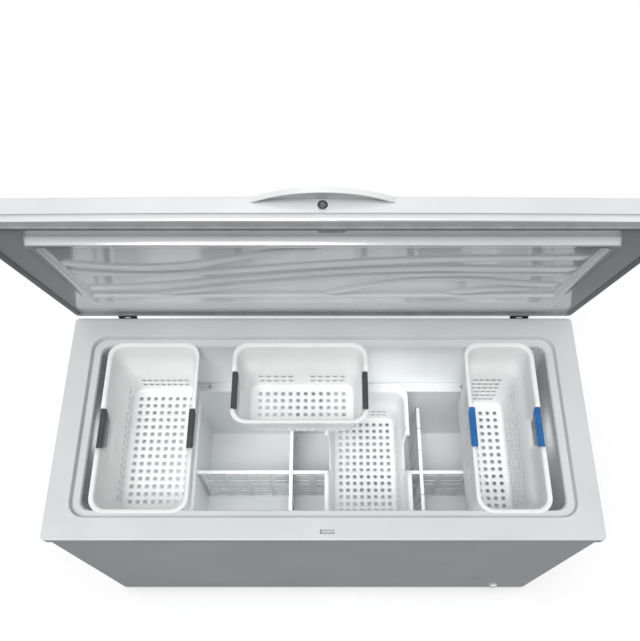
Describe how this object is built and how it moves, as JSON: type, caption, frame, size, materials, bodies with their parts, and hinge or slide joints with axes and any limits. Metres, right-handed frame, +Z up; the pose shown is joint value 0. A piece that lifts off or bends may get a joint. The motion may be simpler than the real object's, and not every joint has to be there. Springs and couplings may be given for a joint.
{
  "type": "chest freezer",
  "caption": "Chest freezer with a hinged lockable lid, sliding hanging baskets, a lower basket on rails, floor dividers, a step over the compressor and a front drain.",
  "frame": {"origin": "on the floor, under the centre of the object's box with the lid open as shown", "axes": "+Z up; +X to the right of someone standing in front; +Y from the front to the hinges"},
  "size_m": [1.52, 0.749, 1.5672],
  "materials": {
    "wrap_paint": "satin",
    "lid_paint": "satin",
    "pan_steel": "satin",
    "foam": "matte",
    "liner_sheet": "satin",
    "frame_plastic": "satin",
    "copper": "satin",
    "tube_steel": "satin",
    "black_steel": "satin",
    "black_plastic": "matte",
    "white_plastic": "satin",
    "lens": "gloss",
    "lid_lining": "gloss",
    "gasket": "matte",
    "chrome_trim": "polished",
    "basket_plastic": "satin",
    "divider_plastic": "satin",
    "clip_grey": "satin",
    "clip_blue": "satin"
  },
  "bodies": {
    "cabinet": {"cabinet_shell": "wrap_paint", "base_pan": "pan_steel", "insulation": "foam", "liner": "liner_sheet", "deck_frame": "frame_plastic", "basket_rail_back": "frame_plastic", "basket_rail_front": "frame_plastic", "evaporator_tube": "copper", "condenser_tube": "tube_steel", "compressor": "black_steel", "compressor_plate": "black_steel", "relay_cover": "black_plastic", "discharge_tube": "copper", "suction_tube": "copper", "filter_drier": "copper", "capillary_tube": "copper", "bay_lining": "pan_steel", "compressor_cover": "white_plastic", "power_light": "lens", "power_gland": "black_plastic", "drain_tube": "white_plastic", "foot_front_left": "black_plastic", "foot_front_right": "black_plastic", "foot_back_left": "black_plastic", "foot_back_right": "black_plastic", "hinge_base_left": "black_steel", "hinge_base_right": "black_steel", "hinge_pin_left": "tube_steel", "hinge_pin_right": "tube_steel", "hinge_spring_left": "tube_steel", "hinge_spring_right": "tube_steel", "divider_long": "divider_plastic"},
    "lid": {"lid_shell": "lid_paint", "lid_panel": "lid_lining", "lid_foam": "foam", "lid_gasket": "gasket", "lid_handle": "white_plastic", "lock_plate": "white_plastic", "hinge_leaf_left": "black_steel", "hinge_leaf_right": "black_steel", "lead_sleeve": "white_plastic"},
    "lock": {"lock_barrel": "chrome_trim", "lock_cam": "tube_steel"},
    "basket_left": {"basket_left": "basket_plastic", "basket_left_clip_left": "clip_grey", "basket_left_clip_right": "clip_grey"},
    "basket_centre": {"basket_centre": "basket_plastic", "basket_centre_clip_left": "clip_grey", "basket_centre_clip_right": "clip_grey"},
    "basket_lower": {"basket_lower": "basket_plastic"},
    "basket_right": {"basket_right": "basket_plastic", "basket_right_clip_left": "clip_blue", "basket_right_clip_right": "clip_blue"},
    "divider_left": {"divider_left": "divider_plastic"},
    "divider_right": {"divider_right": "divider_plastic"},
    "drain_plug": {"drain_plug": "white_plastic"},
    "drain_cap": {"drain_cap": "white_plastic"},
    "thermostat_knob": {"thermostat_knob": "black_plastic"}
  },
  "joints": [
    {"name": "lid_hinge", "type": "hinge", "parent": "cabinet", "child": "lid", "pos_m": [0, 0.31898, 0.826], "axis": [-1, 0, 0], "range_deg": [-73.8, 10]},
    {"name": "lock_turn", "type": "hinge", "parent": "lid", "child": "lock", "pos_m": [0, 0.16295, 1.50284], "axis": [0, 0.279, -0.9603], "range_deg": [0, 90]},
    {"name": "basket_left_slide", "type": "slide", "parent": "cabinet", "child": "basket_left", "axis": [-1, 0, 0], "range_m": [-0.095, 0.02]},
    {"name": "basket_centre_slide", "type": "slide", "parent": "cabinet", "child": "basket_centre", "axis": [-1, 0, 0], "range_m": [-0.285, 0.095]},
    {"name": "basket_lower_slide", "type": "slide", "parent": "cabinet", "child": "basket_lower", "axis": [-1, 0, 0], "range_m": [-0.15, 0.66]},
    {"name": "basket_right_slide", "type": "slide", "parent": "cabinet", "child": "basket_right", "axis": [-1, 0, 0], "range_m": [-0.035, 0.165]},
    {"name": "divider_left_lift", "type": "slide", "parent": "cabinet", "child": "divider_left", "axis": [0, 0, 1], "range_m": [0, 0.13]},
    {"name": "divider_right_lift", "type": "slide", "parent": "cabinet", "child": "divider_right", "axis": [0, 0, 1], "range_m": [0, 0.13]},
    {"name": "drain_plug_lift", "type": "slide", "parent": "cabinet", "child": "drain_plug", "axis": [0, 0, 1], "range_m": [0, 0.03]},
    {"name": "drain_cap_turn", "type": "hinge", "parent": "cabinet", "child": "drain_cap", "pos_m": [0.627, -0.37152, 0.0565], "axis": [0, -1, 0], "range_deg": [0, 90]},
    {"name": "thermostat_turn", "type": "hinge", "parent": "cabinet", "child": "thermostat_knob", "pos_m": [-0.757, -0.20452, 0.243], "axis": [-1, 0, 0], "range_deg": [0, 270]}
  ]
}
